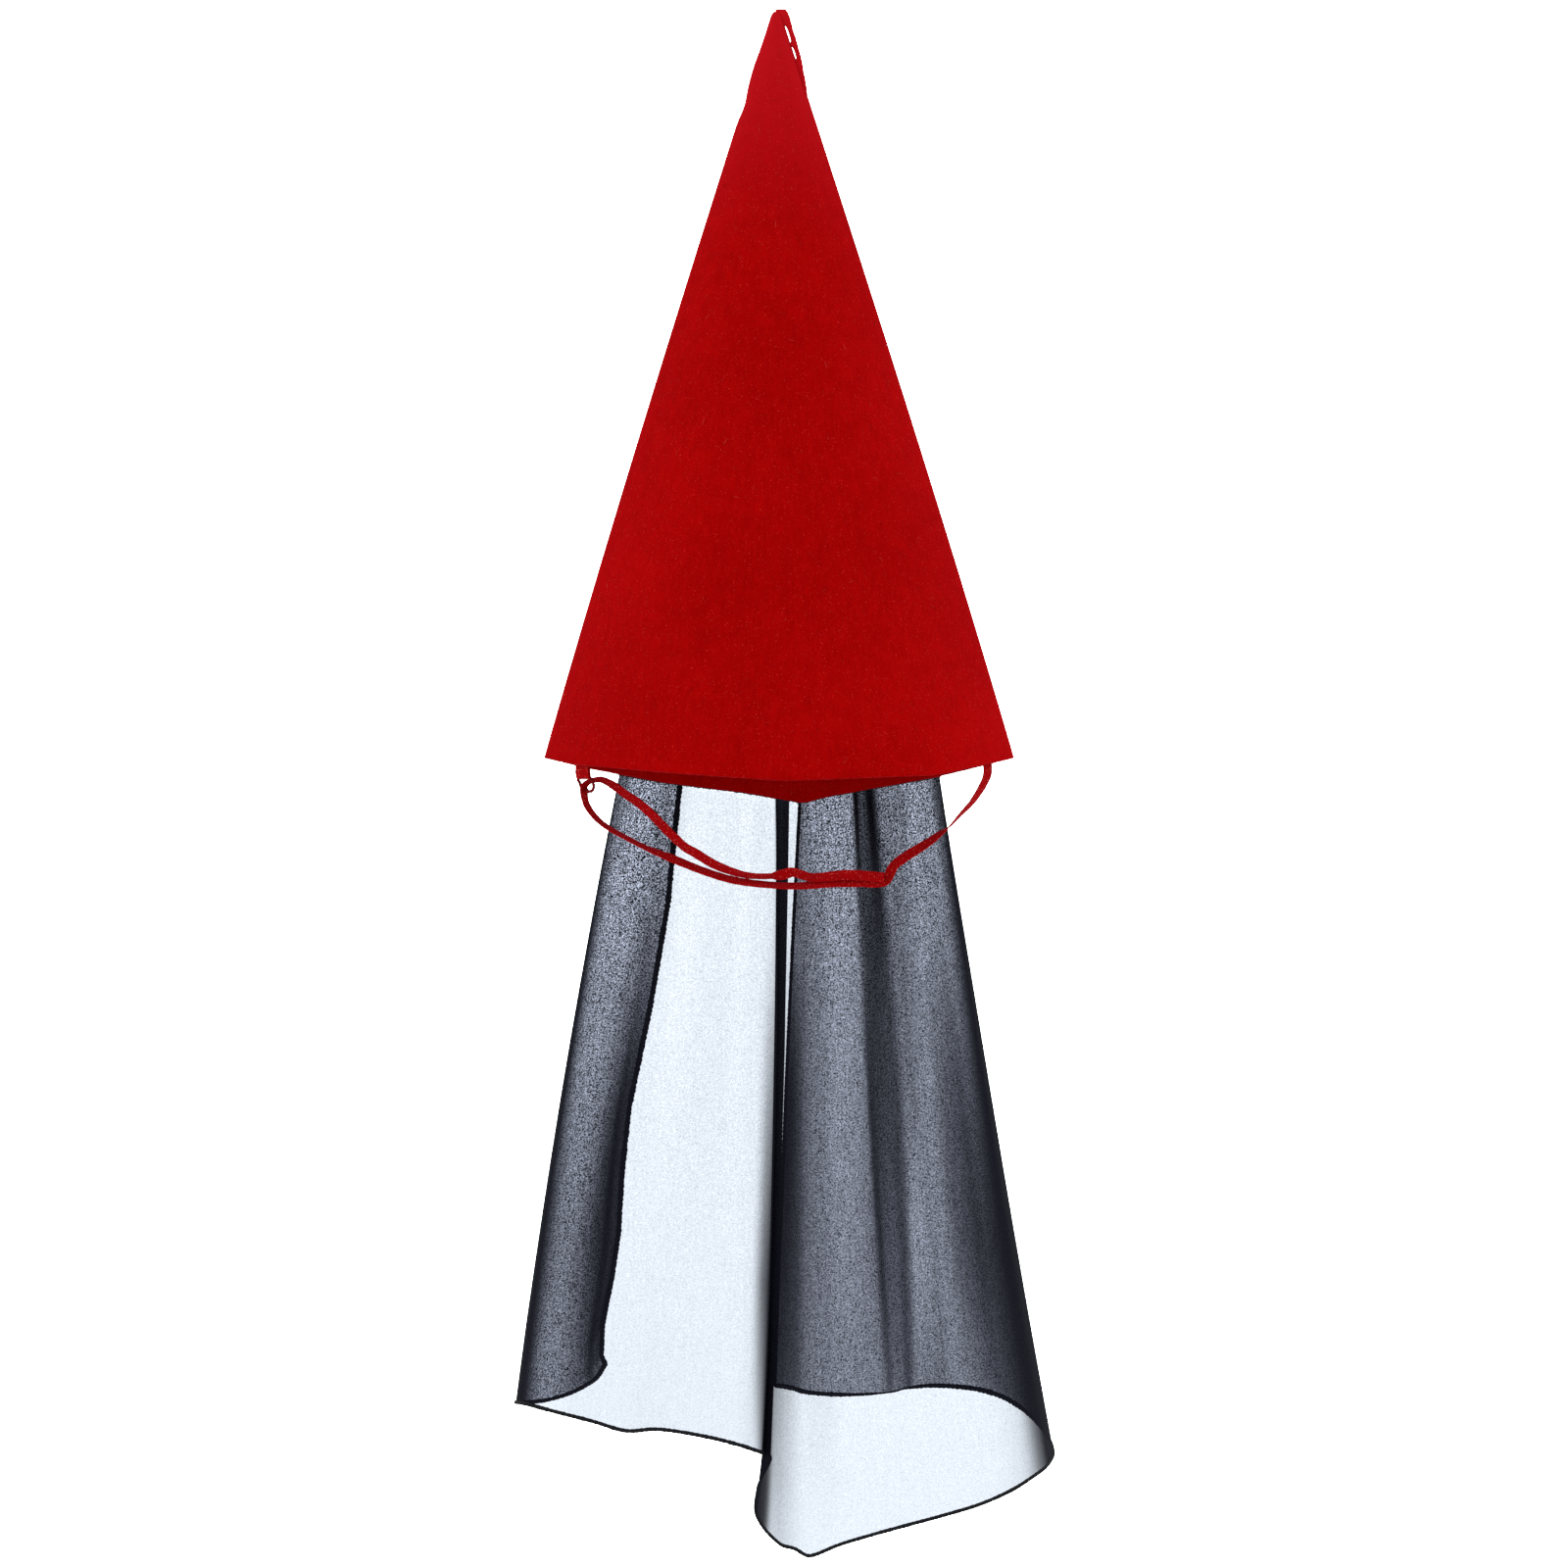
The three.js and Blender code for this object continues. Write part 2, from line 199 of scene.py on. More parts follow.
WALL_GLOW = 3.9
cove = [(3400 - 900 * (1 - math.sin(t)), -1500 - 900 * math.cos(t)) for t in
        [math.pi / 2 * k / 10 for k in range(11)]]
dome = [(3400 * math.cos(t), 1500 + 1300 * math.sin(t)) for t in
        [math.pi / 2 * k / 12 for k in range(12)]]
room_part("pale_floor", [(1, -2400), (1200, -2400), (2500, -2400)], WALL_GLOW)
room_part("pale_wall", cove + dome + [(1, 2800)], WALL_GLOW)

SKY_GLOW = 0.62
world = bpy.data.worlds.new("soft_light")
world.use_nodes = True
world.node_tree.nodes["Background"].inputs["Color"].default_value = (1, 1, 1, 1)
world.node_tree.nodes["Background"].inputs["Strength"].default_value = SKY_GLOW
scene.world = world

SOFTBOX_SIZE = (0.9, 1.3)
LIT_MIDDLE = Vector((0, 0, 0.08))
for name, place, watts in (
    ("softbox_left", (-1.9, -0.75, 0.5), 13.0),
    ("softbox_right", (1.9, -0.75, 0.4), 11.5),
    ("softbox_back", (0.5, 2.0, 0.9), 9.0),
):
    lamp = bpy.data.lights.new(name, "AREA")
    lamp.shape = "RECTANGLE"
    lamp.size, lamp.size_y = SOFTBOX_SIZE
    lamp.energy = watts
    softbox = bpy.data.objects.new(name, lamp)
    softbox.location = place
    aim = LIT_MIDDLE - softbox.location
    softbox.rotation_euler = aim.to_track_quat("-Z", "Y").to_euler()
    softbox.visible_camera = False
    scene.collection.objects.link(softbox)


# Chin strap: one flat woven ribbon that hangs in front. It runs from inside the right of the
# rim to its join, on to the thread loop at the left, and doubled back to the join again.
STRAP_WIDTH = 5.6
STRAP_THICKNESS = 0.7
STRAP_POINTS = 521
STRAP_ROUTE = [
    # across, depth, height and turn: at turn 0 the full width shows, at 90 the edge
    (102.9, -12.1, 7, -30), (105.7, -12.5, -4, -34), (105.2, -12.4, -9.5, -42),
    (98.4, -12.6, -21.4, -60), (91.7, -12.9, -28.7, -73), (86.5, -13.2, -34.4, -84),
    (81.9, -13.6, -37.9, -114), (75.9, -14, -42.4, -131), (69.5, -14.2, -46.4, -142),
    (62.8, -14.5, -50.7, -146), (58.1, -14.9, -54.5, -144), (53.5, -15.4, -61.9, -157),
    (40.2, -15.8, -62.6, -153), (25.8, -16, -63, -144), (11.5, -16.2, -64.5, -124),
    (-3, -16.2, -64.2, -122), (-22.8, -16, -61.7, -128), (-38.4, -15.7, -57, -128),
    (-54, -15.3, -50.8, -133), (-67.2, -14.9, -45.4, -112), (-76.7, -14.5, -40.6, -110),
    (-87.1, -14, -34.8, -113), (-92.9, -13.6, -30, -117), (-97.5, -13.2, -23.5, -121),
    (-98.9, -12.8, -17.5, -127), (-98.9, -12.4, -14.4, -125), (-96.6, -12, -12, -114),
    (-92.4, -12.6, -10.9, -117), (-89.2, -13.4, -11.1, -124), (-82.6, -14.6, -14.6, -137),
    (-78.3, -15.4, -17.8, -136), (-71.8, -16.2, -22.1, -139), (-65.5, -16.8, -27.4, -141),
    (-54.1, -17.8, -38.9, -143), (-47.2, -18.3, -45.2, -140), (-43.2, -18.5, -47.4, -146),
    (-31.8, -18.8, -54.1, -142), (-18.5, -19.1, -58.7, -124), (-11.4, -19.2, -59.6, -119),
    (-3.7, -19.3, -59.5, -119), (1.9, -19.4, -58.8, -168), (6.6, -19.4, -57.6, -146),
    (11.5, -19.4, -58.9, -141), (16.4, -19.3, -60.2, -137), (35.2, -18.9, -59, -157),
    (53, -18.4, -60.3, -157),
]


def through(points, count, closed=False):
    """Points on a smooth curve through all the given ones, evenly spread over their rows."""
    points = [Vector(p) for p in points]
    last = len(points) if closed else len(points) - 1
    steps = count if closed else count - 1
    made = []
    for k in range(count):
        place = last * k / steps
        row = min(int(place), last - 1)
        t = place - row
        if closed:
            a, b, c, d = (points[(row + n) % len(points)] for n in (-1, 0, 1, 2))
        else:
            b, c = points[row], points[row + 1]
            a = points[row - 1] if row > 0 else b * 2 - c
            d = points[row + 2] if row + 2 < len(points) else c * 2 - b
        ab, bc, cd = (max(1e-4, (q - p).length) ** 0.5 for p, q in ((a, b), (b, c), (c, d)))
        out = ((b - a) / ab - (c - a) / (ab + bc) + (c - b) / bc) * bc
        into = ((c - b) / bc - (d - b) / (bc + cd) + (d - c) / cd) * bc
        made.append(
            b * (2 * t**3 - 3 * t**2 + 1) + out * (t**3 - 2 * t**2 + t)
            + c * (3 * t**2 - 2 * t**3) + into * (t**3 - t**2)
        )
    return made


def lengths(points):
    """Distance along a line of points, at each of them."""
    total = [0.0]
    for a, b in zip(points, points[1:]):
        total.append(total[-1] + (b - a).length)
    return total


RIBBON_SECTION = [
    (-1, -0.35), (-0.97, -0.8), (-0.9, -1), (-0.66, -0.96), (-0.33, -0.93), (0, -0.92),
    (0.33, -0.93), (0.66, -0.96), (0.9, -1), (0.97, -0.8), (1, -0.35),
    (1, 0.35), (0.97, 0.8), (0.9, 1), (0.66, 0.96), (0.33, 0.93), (0, 0.92),
    (-0.33, 0.93), (-0.66, 0.96), (-0.9, 1), (-0.97, 0.8), (-1, 0.35),
]


def ribbon(name, route, count, width, thickness, material, across_way=None):
    """A flat ribbon along a route, turned by its last column or all one way, and its middle."""
    middle = through([row[:3] for row in route], count)
    along = lengths(middle)
    rows = []
    for k, centre in enumerate(middle):
        ahead = (middle[min(k + 1, count - 1)] - middle[max(k - 1, 0)]).normalized()
        across = across_way
        if not across_way:
            place = (len(route) - 1) * k / (count - 1)
            row = min(int(place), len(route) - 2)
            share = place - row
            turn = math.radians(route[row][3] * (1 - share) + route[row + 1][3] * share)
            flat = Vector((ahead.z, 0, -ahead.x)).normalized()
            back = Vector((0, 1, 0))
            back = (back - ahead * back.dot(ahead)).normalized()
            across = flat * math.cos(turn) + back * math.sin(turn)
        across = (across - ahead * across.dot(ahead)).normalized()
        out = ahead.cross(across)
        ripple = 1 + 0.025 * math.sin(along[k] * 0.9) + 0.02 * math.sin(along[k] * 2.3)
        rows.append([
            centre + across * (w * width / 2 * ripple) + out * (t * thickness / 2)
            for w, t in RIBBON_SECTION
        ])
    girth = lengths([Vector((w * width / 2, t * thickness / 2, 0))
                     for w, t in RIBBON_SECTION + RIBBON_SECTION[:1]])
    piece = skin(name, rows, material, closed=True, capped=True,
                 uv=lambda r, i: (girth[i] / girth[-1] * 20, along[r]))
    return piece, middle


# its weave runs round the ribbon, 20 mm of map a turn: cross ribs, pale flecks and a darker band along both
# edges
red_ribbon, start = new_material("red_ribbon")
cloth = start.add("ShaderNodeUVMap", uv_map="cloth")
round_it = start.add("ShaderNodeSeparateXYZ", {0: cloth})
# the ribbon is coloured darker in a narrow band along both of its edges
edge_band = (round_it * (4 * math.pi / 0.02)).maths("COSINE").step(0.82, 0.98)
weave = start.add("ShaderNodeTexWave", {"Vector": cloth, "Scale": 300, "Distortion": 0.8},
                  out="Fac", bands_direction="Y")
fleck = start.noise(start.stretch(cloth, (520, 1300, 1)), 1.0, 1.0, "2D")
tone = start.noise(cloth, 130, 2.0, "2D")
threads = start.noise(start.stretch(cloth, (1500, 1700, 1)), 1.0, 1.0, "2D")
share = (weave * 0.3 + threads * 0.6 + tone * 0.4).step(0.3, 0.95)
body = start.blend(share, (0.34, 0.0003, 0.0008, 1), (0.58, 0.0014, 0.0030, 1))
speckled = start.blend(fleck.step(0.68, 0.75), body, (0.98, 0.13, 0.10, 1))
colour = start.blend(edge_band, speckled, (0.22, 0.0004, 0.0008, 1))
height = weave * 0.7 + fleck * 0.5
bump = start.add("ShaderNodeBump", {"Height": height, "Strength": 0.6, "Distance": 0.00025})
surface = start.add("ShaderNodeBsdfPrincipled", {
    "Base Color": colour, "Roughness": 0.8, "Specular IOR Level": 0.02, "Normal": bump,
    "Sheen Weight": 0.3, "Sheen Roughness": 0.5, "Sheen Tint": (1, 0.10, 0.16, 1),
})
start.add("ShaderNodeOutputMaterial", {"Surface": surface})

chin_strap, strap_line = ribbon(
    "strap_ribbon", STRAP_ROUTE, STRAP_POINTS, STRAP_WIDTH, STRAP_THICKNESS, red_ribbon)
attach(chin_strap, "root")
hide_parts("chin_strap")
[tuple(c * MM for c in point) for point in strap_line]

# Strap tab: a short length of the same kind of ribbon, folded double and sewn by its two ends
# inside the left of the rim, so that its fold hangs out below.
TAB_WIDTH = 9.2
TAB_THICKNESS = 0.75
TAB_POINTS = 90
TAB_TURN = math.radians(42)
TAB_ROUTE = [
    (-96.1, -17.6, 8), (-98.2, -17.9, 0), (-98.9, -18.1, -5), (-98.6, -18.3, -9.3),
    (-98.9, -18.6, -10.3), (-99.3, -19, -9.3),
    (-99.6, -18.9, -5), (-98.9, -18.7, 0), (-96.8, -18.4, 8),
]
strap_tab, _ = ribbon("folded_tab", TAB_ROUTE, TAB_POINTS, TAB_WIDTH, TAB_THICKNESS, red_ribbon,
                      Vector((math.cos(TAB_TURN), -math.sin(TAB_TURN), 0)))
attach(strap_tab, "root")
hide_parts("strap_tab")

# Thread loop: a bight of doubled sewing thread that lies against the back of the tab's fold and
# goes round the strap's turn, which keeps the doubled strap hanging from the tab.
THREAD_RADIUS = 0.8
THREAD_PITCH = 1.6
THREAD_PLIES = 2
THREAD_POINTS = 180
THREAD_ROUTE = [
    (-97.8, -17.4, -9.6), (-95.4, -19.5, -9.9), (-94, -19.4, -12.4), (-93.7, -18.4, -14.7),
    (-94.7, -17, -16.5), (-96.5, -15.6, -16.8), (-97.6, -12, -15.8), (-98.4, -8.6, -15.2),
    (-100.4, -8.3, -14.4), (-101, -11.4, -12.5), (-101.8, -14, -10.3),
]


def twisted_loop(name, middle, material, sides=10):
    """A thread of twisted plies along a line of points that closes on itself."""
    along = lengths(middle)
    count = len(middle)
    rows = []
    up = Vector((0, 0, 1))
    for k, centre in enumerate(middle):
        ahead = (middle[(k + 1) % count] - middle[(k - 1) % count]).normalized()
        up = (up - ahead * up.dot(ahead)).normalized()
        side = ahead.cross(up)
        row = []
        for i in range(sides):
            angle = 2 * math.pi * i / sides
            twist = 2 * math.pi * along[k] / THREAD_PITCH / THREAD_PLIES
            lobe = 1 + 0.13 * math.cos(THREAD_PLIES * (angle - twist))
            row.append(centre + side * (math.cos(angle) * THREAD_RADIUS * lobe)
                       + up * (math.sin(angle) * THREAD_RADIUS * lobe))
        rows.append(row)
    rows.append(rows[0])
    piece = skin(name, rows, material, closed=True,
                 uv=lambda r, i: (i * 0.5, along[min(r, count - 1)]))
    work = bmesh.new()
    work.from_mesh(piece.data)
    bmesh.ops.remove_doubles(work, verts=work.verts, dist=1e-7)
    work.to_mesh(piece.data)
    work.free()
    outward(piece)
    return piece


def thread_material(name, dark, light):
    material, start = new_material(name)
    cloth = start.add("ShaderNodeUVMap", uv_map="cloth")
    fibre = start.noise(start.stretch(cloth, (900, 2200, 1)), 1.0, 2.0, "2D")
    colour = start.blend(fibre.step(0.3, 0.75), dark, light)
    bump = start.add("ShaderNodeBump", {"Height": fibre, "Strength": 0.4, "Distance": 0.0001})
    surface = start.add("ShaderNodeBsdfPrincipled", {
        "Base Color": colour, "Roughness": 0.7, "Specular IOR Level": 0.12, "Normal": bump,
    })
    start.add("ShaderNodeOutputMaterial", {"Surface": surface})
    return material


red_thread = thread_material("red_thread", (0.12, 0.0006, 0.002, 1), (0.30, 0.004, 0.006, 1))
thread_loop = twisted_loop("thread_bight", through(THREAD_ROUTE, THREAD_POINTS, closed=True),
                           red_thread)
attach(thread_loop, "root")
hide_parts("thread_loop")

# Felt cone: one blank of thick needled wool felt, bent round so that its two ends meet in a
# seam down the back, then pressed flat and opened, which leaves a crease down each side.
CONE_HEIGHT = 387.5
CONE_LEAN = -1.5
RIM_HALF_WIDTH = 120
RIM_HALF_DEPTH = 68
CREASE_POWER = 2.1
CREASE_SOFTNESS = 0.05
FELT = 1.85
FELT_AT_CREASE = 2.6
SIDE_BOW = 1.7
FELT_WAVES = [(55, 3.1, 80, 0.55), (17, 7.7, 22, 0.12)]  # span, place, span up, height
HOLLOW_DROP = 10
HOLLOW_TOP = 350
CONE_TOP = 381.1
SEAM_ACROSS = 0.1
SEAM_DENT = 0.65
SEAM_RIDGE = 0.4
SEAM_STITCH_PITCH = 4.2
FRONT_RIM = [(-1, 0), (-0.87, 3.1), (-0.46, 7.4), (0.02, 11.5), (0.65, 8.6), (0.85, 3.6), (1, 0)]
BACK_RIM = [(-1, 0), (-0.81, 5.3), (-0.49, 12.4), (-0.15, 17.6), (0.1, 23.1), (0.19, 20),
            (0.49, 13.3), (0.68, 9.3), (1, 0)]


def table_at(rows, place):
    """Straight-line value of a table of (place, value) rows."""
    for (a, low), (b, high) in zip(rows, rows[1:]):
        if place <= b:
            return low + (high - low) * (place - a) / (b - a)
    return rows[-1][1]


def rim_drop(across, back):
    """How far the rim hangs below its side corners, with the table's corners eased."""
    rows = BACK_RIM if back else FRONT_RIM
    ease = min(0.05 if not back else 0.018, 1 - abs(across))
    places = [across + ease * n / 3 for n in (-3, -2, -1, 0, 1, 2, 3)]
    return sum(table_at(rows, place) for place in places) / len(places)


def on_cone(angle, z, outer=True):
    """Point on the felt's outer or inner face, at an angle round it and a height."""
    across = math.cos(angle)
    side = -1 if math.sin(angle) < 0 else 1
    bulge = max(0.0, 1 - abs(across) ** CREASE_POWER)
    bulge = math.sqrt(bulge * (bulge + CREASE_SOFTNESS) / (1 + CREASE_SOFTNESS))
    apex = CONE_HEIGHT if outer else CONE_HEIGHT - HOLLOW_DROP
    half_width = RIM_HALF_WIDTH if outer else RIM_HALF_WIDTH - FELT_AT_CREASE
    half_depth = RIM_HALF_DEPTH if outer else RIM_HALF_DEPTH - FELT
    size = (apex - z) / apex
    depth = math.hypot(half_depth * size, 1.9 if outer else 0) * bulge
    x = half_width * size * across + CONE_LEAN * z / CONE_HEIGHT
    x += SIDE_BOW * across * math.sin(math.pi * max(0.0, z / CONE_HEIGHT) ** 0.8)
    y = side * depth
    # the hand-pressed felt is not quite even, and a notch shows at the left below the tip
    wave = sum(noise.noise(Vector((x / span, side * place, z / span_up))) * height
               for span, place, span_up, height in FELT_WAVES)
    y += side * wave * min(1, bulge * 3) * min(1, max(0.15, (z - 15) / 60))
    edge = max(0.0, -across) ** 6
    x += edge * (0.95 * math.exp(-((z - 333) / 6) ** 2) - 0.6 * math.exp(-((z - 352) / 9) ** 2))
    if side > 0:
        gap = (across - SEAM_ACROSS) * half_width * size
        pucker = 0.75 + 0.25 * math.cos(z * 2 * math.pi / SEAM_STITCH_PITCH)
        y -= SEAM_DENT * math.exp(-(gap / 0.9) ** 2) * (pucker if outer else -0.2)
        y += (SEAM_RIDGE * math.exp(-((abs(gap) - 3.0) / 2.2) ** 2)) * (1 if outer else 0)
    return Vector((x, y, z))


angles = [2 * math.pi * i / 300 for i in range(300)]
seam_angle = math.acos(SEAM_ACROSS)
angles += [seam_angle + 0.0035 * n for n in (-7, -5, -3, -1.5, -0.5, 0.5, 1.5, 3, 5, 7)]
angles.sort()
rims = [-rim_drop(math.cos(a), math.sin(a) >= 0) for a in angles]


def cone_ring(share, top, outer):
    return [on_cone(a, rim + (top - rim) * share, outer) for a, rim in zip(angles, rims)]


shoulder = CONE_TOP - 2
rings = [[Vector((CONE_LEAN, 0, CONE_TOP)).lerp(p, 0.02) for p in cone_ring(1, CONE_TOP, True)]]
for share, drop in ((0.45, 0.05), (0.75, 0.35), (0.93, 0.9)):
    rings.append([Vector((CONE_LEAN * 0.98, 0, CONE_TOP)).lerp(p, share) - Vector((0, 0, drop))
                  for p in cone_ring(1, CONE_TOP, True)])
rings += [cone_ring(1 - k / 150, shoulder, True) for k in range(150)]
outer_rim = [on_cone(a, rim + 0.5) for a, rim in zip(angles, rims)]
inner_rim = [on_cone(a, rim + 0.5, False) for a, rim in zip(angles, rims)]
for k in range(7):
    turn = math.pi * k / 6
    share = (1 - math.cos(turn)) / 2
    fray = [noise.noise(Vector((a * 40, turn, 2.2))) * 0.22 * math.sin(turn) for a in angles]
    rings.append([p.lerp(q, share) - Vector((0, 0, math.sin(turn) * 0.55 + f))
                  for p, q, f in zip(outer_rim, inner_rim, fray)])
rings += [cone_ring(k / 60, HOLLOW_TOP, False) for k in range(1, 61)]

red_felt, start = new_material("red_felt")
place = start.add("ShaderNodeTexCoord", out="Object")
speckle = start.noise(place, 1150, 2.0)
mottle = start.noise(place, 120, 3.0)
streak = start.noise(start.stretch(place, (620, 620, 60)), 1.0, 3.0)
cloud = start.noise(place, 14, 1.0)
share = speckle * 0.75 + mottle * 0.45 + streak * 0.5 + cloud * 0.5 - 0.6
height_up = start.add("ShaderNodeSeparateXYZ", {0: place}, out=2)
body = start.blend(share.step(0.1, 0.9), (0.34, 0.0002, 0.0002, 1), (0.50, 0.0012, 0.0010, 1))
# painted light: from 240 mm up, the felt is painted lighter and pinker towards the tip, standing in for the
# glare of the bright room round its narrow top
painted_tip_glare = start.blend(height_up.step(0.24, 0.42), body, (0.60, 0.0070, 0.0135, 1))
spark = start.noise(place, 1700, 0.0)
colour = start.blend(spark.step(0.75, 0.81), painted_tip_glare, (0.66, 0.028, 0.022, 1))
height = speckle * 0.55 + streak * 0.35 + mottle * 0.8
bump = start.add("ShaderNodeBump", {"Height": height, "Strength": 0.55, "Distance": 0.0005})
surface = start.add("ShaderNodeBsdfPrincipled", {
    "Base Color": colour, "Roughness": 0.95, "Specular IOR Level": 0.0,
    "Sheen Weight": 1.0, "Sheen Roughness": 0.42, "Sheen Tint": (1, 0.055, 0.085, 1),
    "Normal": bump,
})
start.add("ShaderNodeOutputMaterial", {"Surface": surface})

felt_cone = skin("felt_hat", rings, red_felt, closed=True, capped=True)
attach(felt_cone, "root")
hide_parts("felt_cone")

# Tip flap: the seam allowance of the felt, two thicknesses side by side, that turns out at the
# right of the tip. Two narrow slits are left where it is not caught down on the cone.
FLAP_OUTLINE = [(336, 14.9), (338, 14.6), (345, 13.7), (352, 12.4), (357, 11.5), (361.5, 10.2),
                (367, 8.7), (372, 7.1), (376, 6.2), (379, 5.3), (381, 4.4), (382.2, 3.2)]
FLAP_SLITS = [(356.3, 363.6), (364.6, 374.4)]
SLIT_WIDTH = 1.8
FLAP_BOTTOM = FLAP_OUTLINE[0][0]
FLAP_TOP = FLAP_OUTLINE[-1][0]
FLAP_ROWS = 130
FLAP_HALF_THICK = 1.6
FLAP_OVERLAP = 0.9
flap_rows = []
for k in range(FLAP_ROWS + 1):
    z = FLAP_BOTTOM + (FLAP_TOP - FLAP_BOTTOM) * k / FLAP_ROWS
    edge = RIM_HALF_WIDTH * (CONE_HEIGHT - z) / CONE_HEIGHT + CONE_LEAN * z / CONE_HEIGHT
    near = edge - FLAP_OVERLAP
    for low, high in FLAP_SLITS:
        middle, half = (low + high) / 2, (high - low) / 2
        inside = max(0.0, 1 - abs((z - middle) / half) ** 4)
        near += SLIT_WIDTH * math.sqrt(inside)
    if z > 378:
        near = edge - 2.2
    far = table_at(FLAP_OUTLINE, z) + noise.noise(Vector((1.3, 0, z * 0.9))) * 0.25
    far = max(far, near + 0.9)
    end = min(1.0, (382.6 - z) / 1.6) ** 0.5 * min(1.0, (z - 335.6) / 2.5) ** 0.5
    row = []
    for i in range(20):
        turn = 2 * math.pi * i / 20
        c, s = math.cos(turn), math.sin(turn)
        wide = math.copysign(abs(c) ** 0.55, c)
        thick = math.copysign(abs(s) ** 0.7, s)
        across = (near + far) / 2 + (far - near) / 2 * wide
        row.append(Vector((across, FLAP_HALF_THICK * end * thick, z)))
    flap_rows.append(row)
tip_flap = skin("tip_allowance", flap_rows, red_felt, closed=True, capped=True)
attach(tip_flap, "root")
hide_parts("tip_flap")

# Felt fuzz: loose wool fibres that stand off the felt everywhere, with a few longer paler
# ones lying on its face.
felt_fuzz_material, start = new_material("red_wool_fibre")
place = start.add("ShaderNodeTexCoord", out="Object")
share = start.noise(place, 160, 0.0).step(0.35, 0.7)
colour = start.blend(share, (0.46, 0.002, 0.002, 1), (0.80, 0.06, 0.05, 1))
surface = start.add("ShaderNodeBsdfPrincipled", {
    "Base Color": colour, "Roughness": 0.9, "Specular IOR Level": 0.0,
})
start.add("ShaderNodeOutputMaterial", {"Surface": surface})


def fibre(name, length, radius, bow, sides=3, joints=3):
    """One curved fibre, lying along X and bowed up, as a small closed mesh."""
    rows = []
    for k in range(joints + 1):
        t = k / joints
        centre = Vector(((t - 0.5) * length, math.sin(t * 2.6) * bow * 0.6,
                         math.sin(t * math.pi) * bow))
        thin = radius * (0.55 + 0.45 * math.sin(math.pi * t))
        rows.append([centre + Vector((0, math.cos(2 * math.pi * i / sides) * thin,
                                      math.sin(2 * math.pi * i / sides) * thin))
                     for i in range(sides)])
    return skin(name, rows, felt_fuzz_material, closed=True, capped=True)


def scatter_tree(name):
    """Geometry nodes that scatter a small mesh over a surface, turned every way about it."""
    tree = bpy.data.node_groups.new(name, "GeometryNodeTree")
    ports = {}
    for label, kind in (("Surface", "NodeSocketGeometry"), ("Fibre", "NodeSocketObject"),
                        ("Per square metre", "NodeSocketFloat"), ("Seed", "NodeSocketInt"),
                        ("Tilt", "NodeSocketFloat"), ("Smallest", "NodeSocketFloat"),
                        ("Largest", "NodeSocketFloat"), ("Material", "NodeSocketMaterial")):
        ports[label] = tree.interface.new_socket(label, in_out="INPUT", socket_type=kind).identifier
    tree.interface.new_socket("Fibres", in_out="OUTPUT", socket_type="NodeSocketGeometry")
    start = Link(tree)
    entry = tree.nodes.new("NodeGroupInput")
    given = {label: Link(tree, entry.outputs[label]) for label in ports}
    spread = tree.nodes.new("GeometryNodeDistributePointsOnFaces")
    tree.links.new(given["Surface"].socket, spread.inputs["Mesh"])
    tree.links.new(given["Per square metre"].socket, spread.inputs["Density"])
    tree.links.new(given["Seed"].socket, spread.inputs["Seed"])
    source = tree.nodes.new("GeometryNodeObjectInfo")
    tree.links.new(given["Fibre"].socket, source.inputs["Object"])
    low = start.add("ShaderNodeCombineXYZ", {0: 0 - given["Tilt"], 1: 0 - given["Tilt"], 2: 0.0})
    high = start.add("ShaderNodeCombineXYZ", {0: given["Tilt"], 1: given["Tilt"], 2: 6.2832})
    spin = start.add("FunctionNodeRandomValue", {"Min": low, "Max": high, "Seed": given["Seed"]},
                     data_type="FLOAT_VECTOR")
    turned = tree.nodes.new("FunctionNodeRotateRotation")
    turned.rotation_space = "LOCAL"
    tree.links.new(spread.outputs["Rotation"], turned.inputs["Rotation"])
    euler = start.add("FunctionNodeEulerToRotation", {"Euler": spin})
    tree.links.new(euler.socket, turned.inputs["Rotate By"])
    size = tree.nodes.new("FunctionNodeRandomValue")
    size.data_type = "FLOAT"
    tree.links.new(given["Smallest"].socket, size.inputs[2])
    tree.links.new(given["Largest"].socket, size.inputs[3])
    copies = tree.nodes.new("GeometryNodeInstanceOnPoints")
    tree.links.new(spread.outputs["Points"], copies.inputs["Points"])
    tree.links.new(source.outputs["Geometry"], copies.inputs["Instance"])
    tree.links.new(turned.outputs["Rotation"], copies.inputs["Rotation"])
    tree.links.new(size.outputs[1], copies.inputs["Scale"])
    whole = start.add("GeometryNodeRealizeInstances", {0: Link(tree, copies.outputs[0])})
    dressed = start.add("GeometryNodeSetMaterial", {"Geometry": whole, "Material": given["Material"]})
    tree.nodes.new("NodeGroupOutput")
    tree.links.new(dressed.socket, tree.nodes[-1].inputs[0])
    return tree, ports


def grown(name, base, tree, ports, values, material):
    """What a node tree makes on a piece, as a plain mesh of its own."""
    carrier = bpy.data.objects.new(name + "_carrier", base.data)
    scene.collection.objects.link(carrier)
    modifier = carrier.modifiers.new("grow", "NODES")
    modifier.node_group = tree
    for label, value in values.items():
        modifier[ports[label]] = value
    bpy.context.view_layer.update()
    seen = carrier.evaluated_get(bpy.context.evaluated_depsgraph_get())
    mesh = bpy.data.meshes.new_from_object(seen)
    mesh.name = name
    carrier.modifiers.clear()
    bpy.data.objects.remove(carrier)
    mesh.materials.clear()
    mesh.materials.append(material)
    piece = bpy.data.objects.new(name, mesh)
    scene.collection.objects.link(piece)
    return piece


